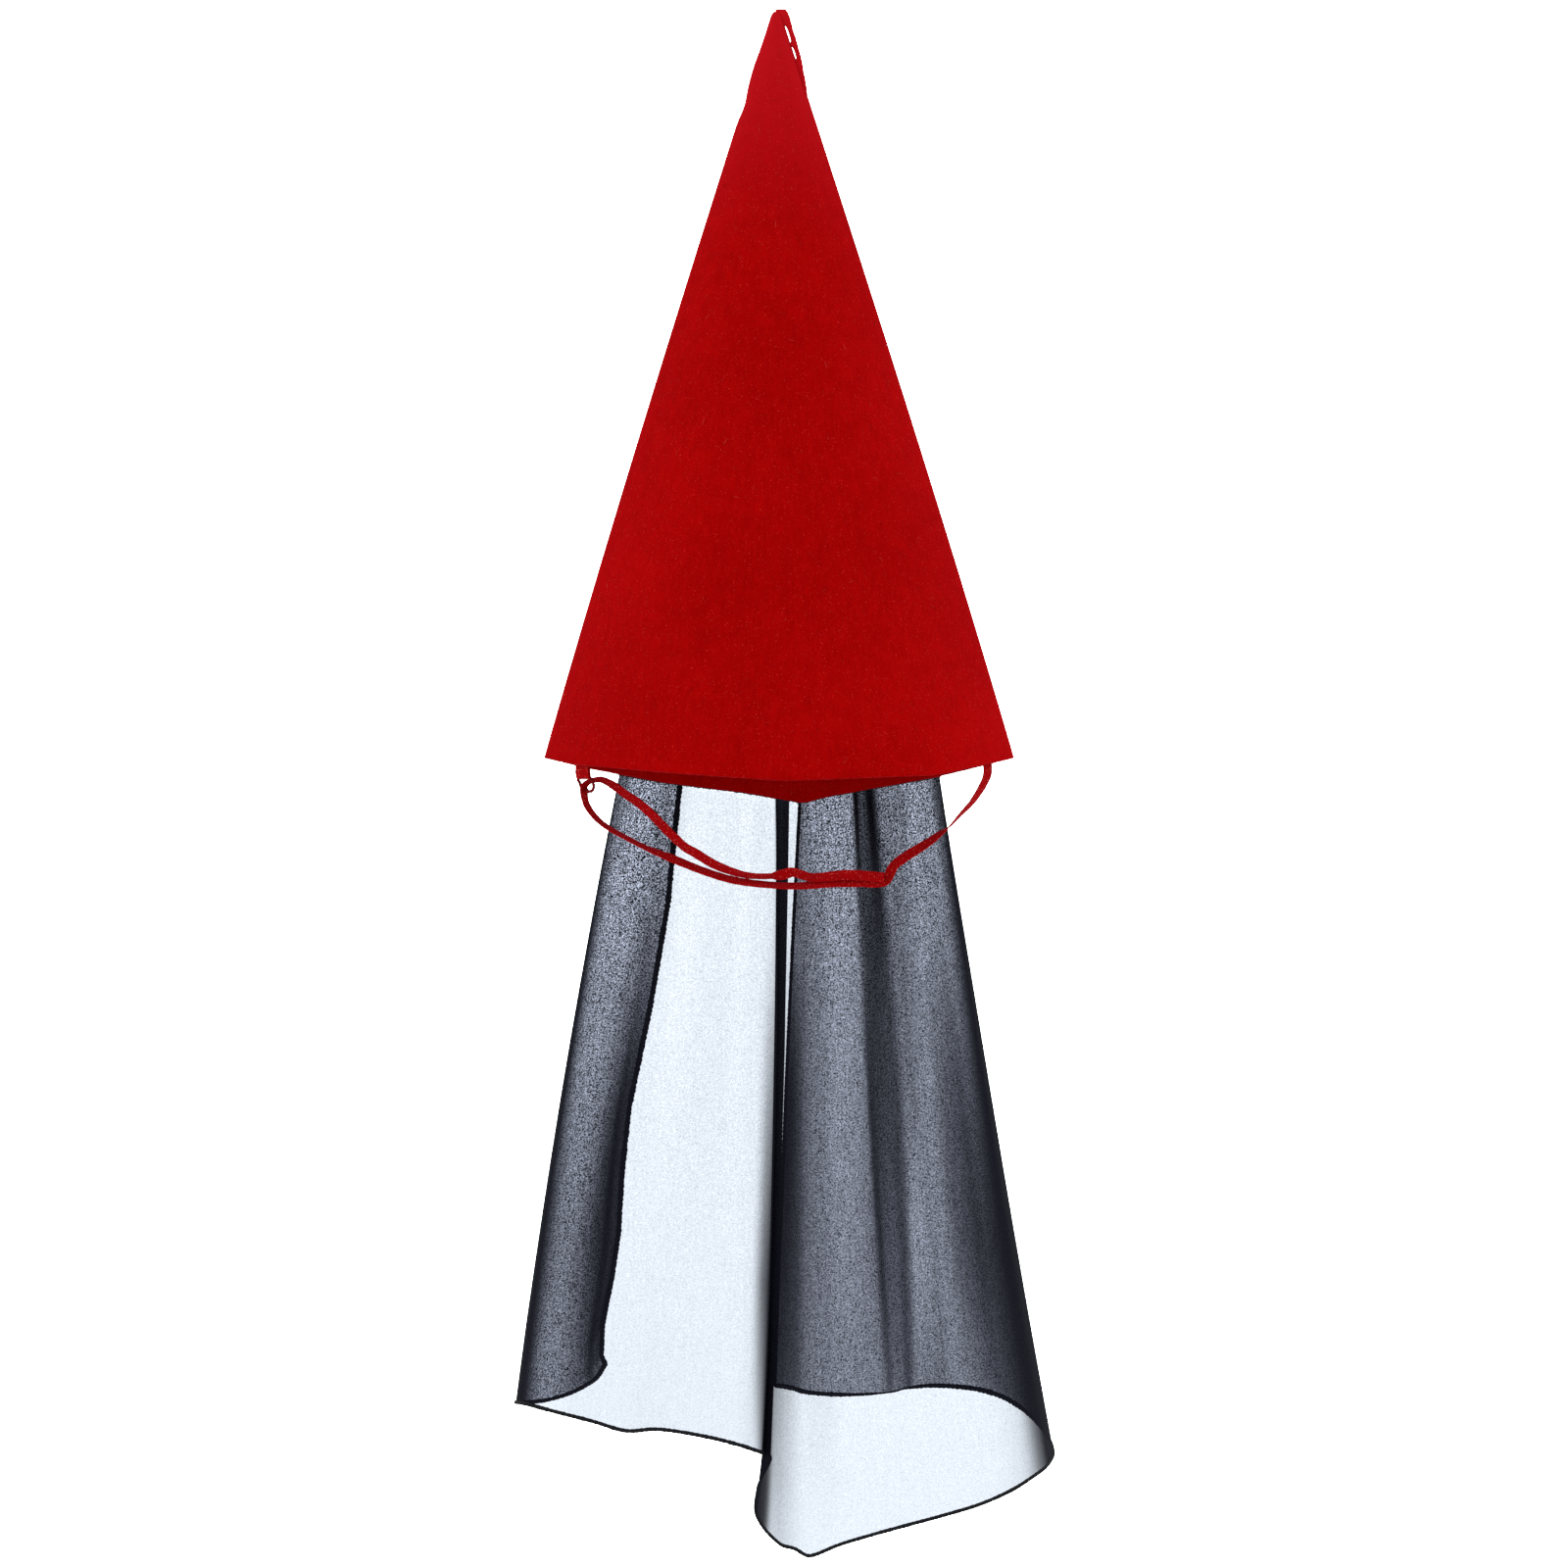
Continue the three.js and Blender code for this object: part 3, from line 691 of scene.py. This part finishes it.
scatter, scatter_ports = scatter_tree("scatter fibres")
short_fibre = fibre("short_fibre", length=1.5, radius=0.055, bow=0.45)
long_fibre = fibre("long_fibre", length=3.4, radius=0.11, bow=0.5, joints=4)
for name, base, source, density, seed, tilt in (
    ("felt_fuzz", felt_cone, short_fibre, 32000, 3, 0.45),
    ("tip_fuzz", tip_flap, short_fibre, 90000, 5, 0.6),
    ("felt_flecks", felt_cone, long_fibre, 1500, 11, 0.06),
):
    fuzz = grown(name, base, scatter, scatter_ports, {
        "Fibre": source, "Per square metre": float(density), "Seed": seed, "Tilt": tilt,
        "Smallest": 0.5, "Largest": 1.3, "Material": felt_fuzz_material,
    }, felt_fuzz_material)
    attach(fuzz, "root")
bpy.data.objects.remove(short_fibre)
bpy.data.objects.remove(long_fibre)

# Veil: one sheet of sheer black chiffon, sewn along the outside of the back of the rim and
# folded back at both sides, so that it hangs as a loose tube that is open down the back.
VEIL_OVERLAP = 9
VEIL_BELOW_RIM = 1
VEIL_PRESSED = 0.4
VEIL_NEAREST = 1.3
VEIL_DROP = 345
VEIL_FAR_DEPTH = 35
VEIL_SOFTNESS = [(30, 1.3, 4.7, 1.4), (13, 1.8, 9.1, 0.5)]  # span, turns down, place, height
VEIL_RIBS = [
    # across the rim, out from the wall there, then the hem's place across, in depth and in height
    (-52.5, 9, -92.9, 80, -320.8), (-57.6, 9, -98, 89.5, -329.6), (-63.5, 9, -104, 96.5, -334.7),
    (-69, 8.8, -112, 100, -339.3), (-75, 8, -123, 98.5, -342.5), (-79.5, 6.8, -132, 93, -343),
    (-82.5, 5.2, -137.3, 81, -341), (-83.6, 3.8, -138.6, 60, -337.5), (-82.8, 2.4, -136.6, 35, -333.8),
    (-80, 1.7, -134.5, 19, -331.5), (-75, 1.4, -130, 10.5, -330.9), (-66, 1.3, -118, 5.5, -333.3),
    (-52, 1.3, -95, 1.5, -338.5), (-44, 1.3, -78, -0.5, -342.9), (-36, 1.3, -62, -3, -341.7),
    (-20, 1.3, -36, -6.5, -345.1), (-10, 1.3, -20, -7.5, -349), (-5.2, 1.3, -13, -5, -351.8),
    (-2.1, 1.9, -9, 1, -354.2), (-1.5, 8, -7.8, 12, -356.5), (5.3, 17, -4.4, 27, -362),
    (2.2, 9, -6, 12, -374), (-1.5, 3, -7, 3, -384.6), (1.4, 1.6, -4, -3.5, -392.8),
    (6, 1.3, 0.5, -8.5, -399.1), (11, 1.3, 8, -11.5, -400.9), (16, 1.3, 14.5, -12.8, -404.2),
    (18, 1.3, 18, -12.9, -403.7), (24, 1.3, 30.5, -12.5, -398.7), (38.2, 1.3, 48.7, -11.8, -393.4),
    (62.2, 1.3, 83, -9, -384.6), (71, 1.3, 103, -8.5, -378.6), (76.5, 1.4, 119, -5.5, -372),
    (80, 1.8, 129.5, 0.5, -366.6), (82.3, 2.4, 136.5, 12, -363.9), (83.5, 3.2, 141, 30, -362.4),
    (83.8, 4.4, 143.4, 52, -361), (83, 5.7, 140.5, 70, -355), (81, 6.9, 131.5, 86, -347.1),
    (77, 7.8, 120, 97.5, -341.3), (71, 8.5, 107, 104, -338.1), (62, 8.5, 93, 107, -336.8),
    (55, 9, 80, 108, -336.6), (49.5, 10, 72, 106, -337.1), (45.5, 17, 66.5, 102.5, -337.4),
    (42, 16.5, 62, 103.5, -338.9), (38.5, 9.5, 56.5, 109, -340.5), (32, 8.6, 42, 112, -341.9),
    (25, 8.5, 28, 112.5, -341.9), (18.5, 7.6, 14.5, 108.5, -340.1), (14, 5.6, 6, 99, -336.2),
    (10.8, 3, -2.6, 87, -333.1),
]
VEIL_BOWS = {
    # rib: how far it bows across and in depth, half way down
    0: (-1, -12), 1: (-1, -9), 2: (-1, -5), 3: (-1.5, -1), 4: (-2, 0), 5: (-3, 0), 6: (-3.2, 0),
    7: (-3.2, 0), 8: (-3.2, 0), 9: (-2.8, 0), 10: (-2, 0), 11: (-1, 0), 17: (2, 0), 18: (3, 0),
    19: (3.4, 0), 20: (1.2, 0), 21: (1.5, 0), 22: (1, 0), 34: (-0.8, 0), 35: (-1.2, 0), 36: (-1.2, 0),
    37: (-0.8, 0), 42: (1.5, 0), 43: (2, -2), 44: (0.5, -5), 45: (-0.5, -4), 46: (-1, 0),
    49: (-0.5, 0), 50: (-0.8, -1), 51: (-0.8, -2),
}
VEIL_FOOT = {21: -5, 22: -5, 23: -3}  # rib: how far the pleat's foot turns out across
VEIL_WAVE = [  # down the left edge: how far it waves across
    (0, 0), (0.12, 1.5), (0.2, 2.6), (0.38, 0.8), (0.47, -1.2), (0.55, -3), (0.66, -2.4),
    (0.77, -0.4), (0.85, -1.2), (0.93, -3.2), (0.985, -2), (1, 0.5),
]
VEIL_GATHERS = [
    # fine folds: first rib, full from, full to and last rib, then the cloth that they add at the
    # rim, a quarter of the way down, half, three quarters and at the hem
    (-1, 0, 1.2, 2.2, (0, 0.25, 0.45, 0.35, 0.1)), (0.6, 1.8, 2.6, 4.2, (0, 0.15, 0.45, 1, 0.5)),
    (8.8, 9.6, 10.8, 11.6, (-0.42, -0.38, -0.2, 0, -0.1)),
    (12.2, 13, 15.2, 16, (-0.08, -0.05, -0.02, 0, 0)),
    (13.6, 14.4, 14.8, 15.4, (0.03, 0.04, 0.03, 0, 0)),
    (16.3, 17.3, 18, 18.2, (-0.05, 0.05, 0.5, 0.8, -0.2)),
    (20.6, 21.4, 22.6, 23.4, (0, 0, 0, -0.3, 2)), (22, 22.8, 23, 26.2, (0, 0.2, 0.7, 0.6, 0.15)),
    (25.5, 26.3, 27.6, 28.3, (-0.02, 0.1, 0.14, 0.1, 0)),
    (27.4, 28.3, 29, 29.7, (-0.12, -0.16, -0.08, 0, 0)), (24, 27, 31, 33, (0, 0, -0.02, -0.03, -0.02)),
    (30, 30.7, 32.2, 33, (-0.42, -0.28, 0, 0, 0)), (32.6, 33.4, 36.5, 38, (0.36, 0.3, 0.15, 0, 0)),
    (36.2, 37.4, 38.8, 40.6, (0, 0.1, 0.4, 0.75, 0.45)), (38.8, 39.4, 40.2, 40.9, (0, 0.1, 0.45, 0.5, 0.1)),
    (38, 40, 52, 53, (-0.06, -0.06, -0.06, -0.02, 0)), (41.2, 41.9, 42.3, 43, (0, 0.3, 0.3, -0.3, -0.1)),
    (40.8, 41.4, 42, 42.8, (0, 0, 0, 0.12, 0.3)), (42.4, 43.2, 44.8, 47.3, (0, 0.15, 0.4, 0.6, 0.2)),
    (42.2, 43.2, 45.4, 46.3, (1.2, 1.05, 0.8, 0.2, 0)), (43.6, 44, 45, 45.4, (0, 0.3, 0.1, 0, 0)),
    (42.6, 43.4, 44.2, 45.4, (0, 0, 0, 0, 0.3)), (47.6, 50, 51, 52, (0, 0.15, 0.3, 0.3, 0.1)),
    (49.4, 50.4, 51, 52, (0.2, -0.2, 0.5, 0.15, 0)),
]
VEIL_RIB_STEPS = 8
VEIL_COLUMNS = (len(VEIL_RIBS) - 1) * VEIL_RIB_STEPS + 1
VEIL_ROWS = 130
VEIL_SEWN_ROWS = 7
CREPE_NEAR = [(0, 0.36), (0.5, 0.32), (1, 0.17)]
CREPE_FAR = [(0, 3.0), (0.35, 1.5), (0.8, 1.35), (1, 1.35)]
CREPE_LEFT = 1.5


def behind_rim(x, above, out):
    """Point behind the cone's back wall: its place across, height above the rim, distance out."""
    across, z = x / RIM_HALF_WIDTH, 0.0
    for _ in range(4):
        z = above - rim_drop(across, True)
        half_width = RIM_HALF_WIDTH * (CONE_HEIGHT - z) / CONE_HEIGHT
        across = (x - CONE_LEAN * z / CONE_HEIGHT) / half_width
    bulge = 1 - abs(across) ** CREASE_POWER
    return Vector((x, RIM_HALF_DEPTH * (CONE_HEIGHT - z) / CONE_HEIGHT * bulge + out, z))


def eased(low, high, value):
    share = min(1.0, max(0.0, (value - low) / (high - low)))
    return share * share * (3 - 2 * share)


def gathered(rib, t):
    """Share of cloth that the fine folds add at a rib and a share of the way down."""
    total = 0.0
    for first, full, full_to, last, amounts in VEIL_GATHERS:
        amount = table_at([(k / 4, a) for k, a in enumerate(amounts)], t)
        total += amount * eased(first, full, rib) * (1 - eased(full_to, last, rib))
    return total


veil_sewn = [behind_rim(x, VEIL_OVERLAP, VEIL_NEAREST + (out - VEIL_NEAREST) * VEIL_PRESSED)
             for x, out, *_ in VEIL_RIBS]
veil_freed = [behind_rim(x, -VEIL_BELOW_RIM, out) for x, out, *_ in VEIL_RIBS]
veil_sewn = through(veil_sewn, VEIL_COLUMNS)
veil_freed = through(veil_freed, VEIL_COLUMNS)
veil_hem = through([row[2:] for row in VEIL_RIBS], VEIL_COLUMNS)
bows = through([(*VEIL_BOWS.get(k, (0, 0)), VEIL_FOOT.get(k, 0)) for k in range(len(VEIL_RIBS))],
               VEIL_COLUMNS)
girth = lengths([a.lerp(b, 0.5) for a, b in zip(veil_freed, veil_hem)])

veil_rows = [[a.lerp(b, k / VEIL_SEWN_ROWS) for a, b in zip(veil_sewn, veil_freed)]
             for k in range(VEIL_SEWN_ROWS)]
veil_places = [(VEIL_OVERLAP + VEIL_BELOW_RIM) * k / VEIL_SEWN_ROWS for k in range(VEIL_SEWN_ROWS)]
veil_crepe = [CREPE_FAR[0][1]] * VEIL_SEWN_ROWS * VEIL_COLUMNS
veil_gather = [0.0] * VEIL_SEWN_ROWS * VEIL_COLUMNS
for k in range(VEIL_ROWS + 1):
    t = k / VEIL_ROWS
    wave = table_at(VEIL_WAVE, t)
    row = []
    for i, (top, foot, bow) in enumerate(zip(veil_freed, veil_hem, bows)):
        point = top.lerp(foot, t) + Vector((bow.x, bow.y, 0)) * (4 * t * (1 - t))
        point.x += bow.z * t**10 + wave * (1 - eased(0, 4, i / VEIL_RIB_STEPS))
        row.append(point)
    moved = []
    for i, point in enumerate(row):
        before, after = row[max(0, i - 1)], row[min(VEIL_COLUMNS - 1, i + 1)]
        out = (after - before).cross(Vector((0, 0, 1))).normalized()
        swell = math.sin(math.pi * min(1.0, t * 1.15)) * 0.5 + 0.5 * t
        soft = sum(noise.noise(Vector((girth[i] / span, t * turns, place))) * height
                   for span, turns, place, height in VEIL_SOFTNESS)
        moved.append(point + out * (soft * swell))
        far = min(1.0, max(0.0, (veil_hem[i].y - VEIL_FAR_DEPTH) / VEIL_FAR_DEPTH))
        near_crepe, far_crepe = table_at(CREPE_NEAR, t), table_at(CREPE_FAR, t)
        far_crepe *= 1 + (CREPE_LEFT - 1) * (1 - eased(6, 9, i / VEIL_RIB_STEPS))
        veil_crepe.append(near_crepe + (far_crepe - near_crepe) * far)
        veil_gather.append(gathered(i / VEIL_RIB_STEPS, t))
    veil_rows.append(moved)
    veil_places.append(VEIL_OVERLAP + VEIL_BELOW_RIM + VEIL_DROP * t)

# each thickness of the chiffon lets a quarter of the light through, a little more of the blue
CHIFFON_DENSITY = 1.355
black_chiffon, start = new_material("black_chiffon")
cloth = start.add("ShaderNodeUVMap", uv_map="cloth")
place = start.add("ShaderNodeTexCoord", out="Object")
strength = start.add("ShaderNodeAttribute", out="Fac", attribute_name="crepe")
folds = start.add("ShaderNodeAttribute", out="Fac", attribute_name="gather")
crepe = start.noise(place, 1400, 1.0) - 0.5
fine = start.noise(place, 2600, 0.0) - 0.5
slub = start.noise(start.stretch(cloth, (900, 60, 1)), 1.0, 1.0, "2D") - 0.5
grain = (crepe * 3.2 + fine * 0.7 + slub * 0.4) * strength
facing = 1 - start.add("ShaderNodeLayerWeight", {"Blend": 0.5}, out="Facing")
density = (folds + 1) * CHIFFON_DENSITY / facing.at_least(0.22)
alpha = 1 - (density * -1).exp() * (grain + 1).at_least(0)
colour = start.blend(crepe + 0.5, (0.0070, 0.0073, 0.0125, 1), (0.0100, 0.0105, 0.0185, 1))
bump = start.add("ShaderNodeBump", {"Height": crepe, "Strength": 0.3, "Distance": 0.0002})
yarn = start.add("ShaderNodeBsdfPrincipled", {
    "Base Color": colour, "Roughness": 0.8, "Specular IOR Level": 0.04, "Normal": bump,
})
clear = start.add("ShaderNodeBsdfTransparent", {"Color": (0.862, 0.876, 1.0, 1)})
surface = start.add("ShaderNodeMixShader", {0: alpha, 1: clear, 2: yarn})
start.add("ShaderNodeOutputMaterial", {"Surface": surface})

veil = skin("chiffon_veil", veil_rows, black_chiffon,
            uv=lambda r, i: (girth[i], -veil_places[r]))
for name, values in (("crepe", veil_crepe), ("gather", veil_gather)):
    veil.data.attributes.new(name, "FLOAT", "POINT").data.foreach_set("value", values)
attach(veil, "root")
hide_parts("veil")

# Rolled hem: the veil's free edges are rolled over and overlocked in black thread, a broader roll down the
# left edge.
# A thin black roll also lies along the back of the rim, where the veil comes out from under the felt.
black_thread = thread_material("black_thread", (0.006, 0.006, 0.008, 1), (0.02, 0.02, 0.026, 1))
LEFT_ROLL = [(0, 1.5), (0.3, 1.5), (0.6, 1.4), (1, 1.35)]
HEM_ROLL = [(0, 1.4), (4, 1.4), (7, 1.15), (36, 1.15), (39, 1.5), (42, 1.3), (44, 0.5), (46, 0.5),
            (48, 1.5), (51, 1.5)]
RIGHT_ROLL = 1.0
RIM_ROLL = 0.55
ROLL_HALF_THICK = 0.75
ROLL_STEP = 0.75


def even(points, values, step):
    """The same line with its points one step apart, and the values that go with them."""
    along = lengths(points)
    count = int(along[-1] / step)
    made, sizes, k = [], [], 0
    for n in range(count + 1):
        want = along[-1] * n / count
        while k < len(along) - 2 and along[k + 1] < want:
            k += 1
        share = (want - along[k]) / max(1e-6, along[k + 1] - along[k])
        made.append(points[k].lerp(points[k + 1], share))
        sizes.append(values[k] * (1 - share) + values[k + 1] * share)
    return made, sizes


def roll(name, line, widths):
    """A roll of cloth bound with thread along a line, flattened where it is broad."""
    line, widths = even(line, widths, ROLL_STEP)
    along = lengths(line)
    rows = []
    turns = [2 * math.pi * i / 10 for i in range(10)]
    thick_way = Vector((0, 1, 0))
    for k, centre in enumerate(line):
        ahead = (line[min(k + 1, len(line) - 1)] - line[max(k - 1, 0)]).normalized()
        thick_way = (thick_way - ahead * thick_way.dot(ahead)).normalized()
        side = ahead.cross(thick_way)
        beat = 1 + 0.1 * math.sin(along[k] * 2.6)
        beat += 0.25 * noise.noise(Vector((along[k] * 0.6, 1.7, 0)))
        wide = widths[k] * beat
        thick = min(wide, ROLL_HALF_THICK)
        rows.append([centre + side * (math.cos(a) * wide) + thick_way * (math.sin(a) * thick)
                     for a in turns])
    piece = skin(name, rows, black_thread, closed=True, capped=True,
                 uv=lambda r, i: (i * 0.6, along[r]))
    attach(piece, "root")
    return piece


left_edge = [row[0] for row in veil_rows]
right_edge = [row[-1] for row in veil_rows][::-1]
roll_widths = [table_at(LEFT_ROLL, k / len(left_edge)) for k in range(len(left_edge) - 1)]
roll_widths += [table_at(HEM_ROLL, i / VEIL_RIB_STEPS) for i in range(VEIL_COLUMNS - 1)]
roll_widths += [RIGHT_ROLL] * len(right_edge)
rolled_hem = roll("rolled_hem", left_edge[:-1] + veil_rows[-1][:-1] + right_edge, roll_widths)
rim_line = [a.lerp(b, 0.88) for a, b in zip(veil_sewn, veil_freed)]
rim_roll = roll("rim_roll", rim_line, [RIM_ROLL] * VEIL_COLUMNS)

# Veil stitches: one row of short stitches in doubled black thread holds the veil to the felt,
# half way up the part of it that lies on the cone.
STITCH_PITCH = 3.6
STITCH_LENGTH = 2.5
STITCH_RADIUS = 0.3
STITCH_LIFT = 0.15


def along_tree(name):
    """Geometry nodes that set a small mesh along a line at an even pitch, lying along it."""
    tree = bpy.data.node_groups.new(name, "GeometryNodeTree")
    ports = {}
    for label, kind in (("Line", "NodeSocketGeometry"), ("Stitch", "NodeSocketObject"),
                        ("Pitch", "NodeSocketFloat"), ("Seed", "NodeSocketInt"),
                        ("Unevenness", "NodeSocketFloat"), ("Material", "NodeSocketMaterial")):
        ports[label] = tree.interface.new_socket(label, in_out="INPUT", socket_type=kind).identifier
    tree.interface.new_socket("Stitches", in_out="OUTPUT", socket_type="NodeSocketGeometry")
    start = Link(tree)
    entry = tree.nodes.new("NodeGroupInput")
    given = {label: Link(tree, entry.outputs[label]) for label in ports}
    curve = start.add("GeometryNodeMeshToCurve", {0: given["Line"]})
    spaced = start.add("GeometryNodeResampleCurve", {"Curve": curve, "Length": given["Pitch"]},
                       mode="LENGTH")
    tangent = start.add("GeometryNodeInputTangent")
    uneven = start.add("ShaderNodeCombineXYZ", {0: given["Unevenness"], 1: given["Unevenness"],
                                                2: given["Unevenness"]})
    low = start.add("ShaderNodeVectorMath", {0: uneven, "Scale": -1.0}, operation="SCALE")
    shake = start.add("FunctionNodeRandomValue", {"Min": low, "Max": uneven, "Seed": given["Seed"]},
                      data_type="FLOAT_VECTOR")
    way = start.add("ShaderNodeVectorMath", {0: tangent, 1: shake}, operation="ADD")
    turned = start.add("FunctionNodeAlignRotationToVector", {"Vector": way}, axis="X")
    source = start.add("GeometryNodeObjectInfo", {"Object": given["Stitch"]}, out="Geometry")
    copies = start.add("GeometryNodeInstanceOnPoints", {
        "Points": spaced, "Instance": source, "Rotation": turned})
    whole = start.add("GeometryNodeRealizeInstances", {0: copies})
    dressed = start.add("GeometryNodeSetMaterial", {"Geometry": whole, "Material": given["Material"]})
    tree.nodes.new("NodeGroupOutput")
    tree.links.new(dressed.socket, tree.nodes[-1].inputs[0])
    return tree, ports


stitch_profile = [(t, math.sqrt(max(0.0, 1 - abs(2 * t - 1) ** 3))) for t in
                  [0.02, 0.1, 0.25, 0.5, 0.75, 0.9, 0.98]]
stitch_rows = [[Vector(((t - 0.5) * STITCH_LENGTH, STITCH_RADIUS * r * math.cos(2 * math.pi * i / 8),
                        STITCH_RADIUS * r * math.sin(2 * math.pi * i / 8))) for i in range(8)]
               for t, r in stitch_profile]
one_stitch = skin("one_stitch", stitch_rows, black_thread, closed=True, capped=True,
                  uv=lambda r, i: (i * 0.25, r * 0.4))
seam_points = []
seam_row = veil_rows[VEIL_SEWN_ROWS // 2]
for a, b in zip(seam_row, seam_row[1:]):
    out = (b - a).cross(Vector((0, 0, 1))).normalized()
    seam_points.append((a + b) / 2 + out * (STITCH_LIFT if a.x < b.x else -STITCH_LIFT))
seam_mesh = bpy.data.meshes.new("seam_line")
seam_mesh.from_pydata([tuple(c * MM for c in p) for p in seam_points],
                      [(k, k + 1) for k in range(len(seam_points) - 1)], [])
seam_line = bpy.data.objects.new("seam_line", seam_mesh)
stitch_tree, stitch_ports = along_tree("stitches along a line")
veil_stitches = grown("veil_stitches", seam_line, stitch_tree, stitch_ports, {
    "Stitch": one_stitch, "Pitch": STITCH_PITCH * MM, "Seed": 4, "Unevenness": 0.12,
    "Material": black_thread,
}, black_thread)
bpy.data.objects.remove(one_stitch)
bpy.data.objects.remove(seam_line)
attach(veil_stitches, "root")
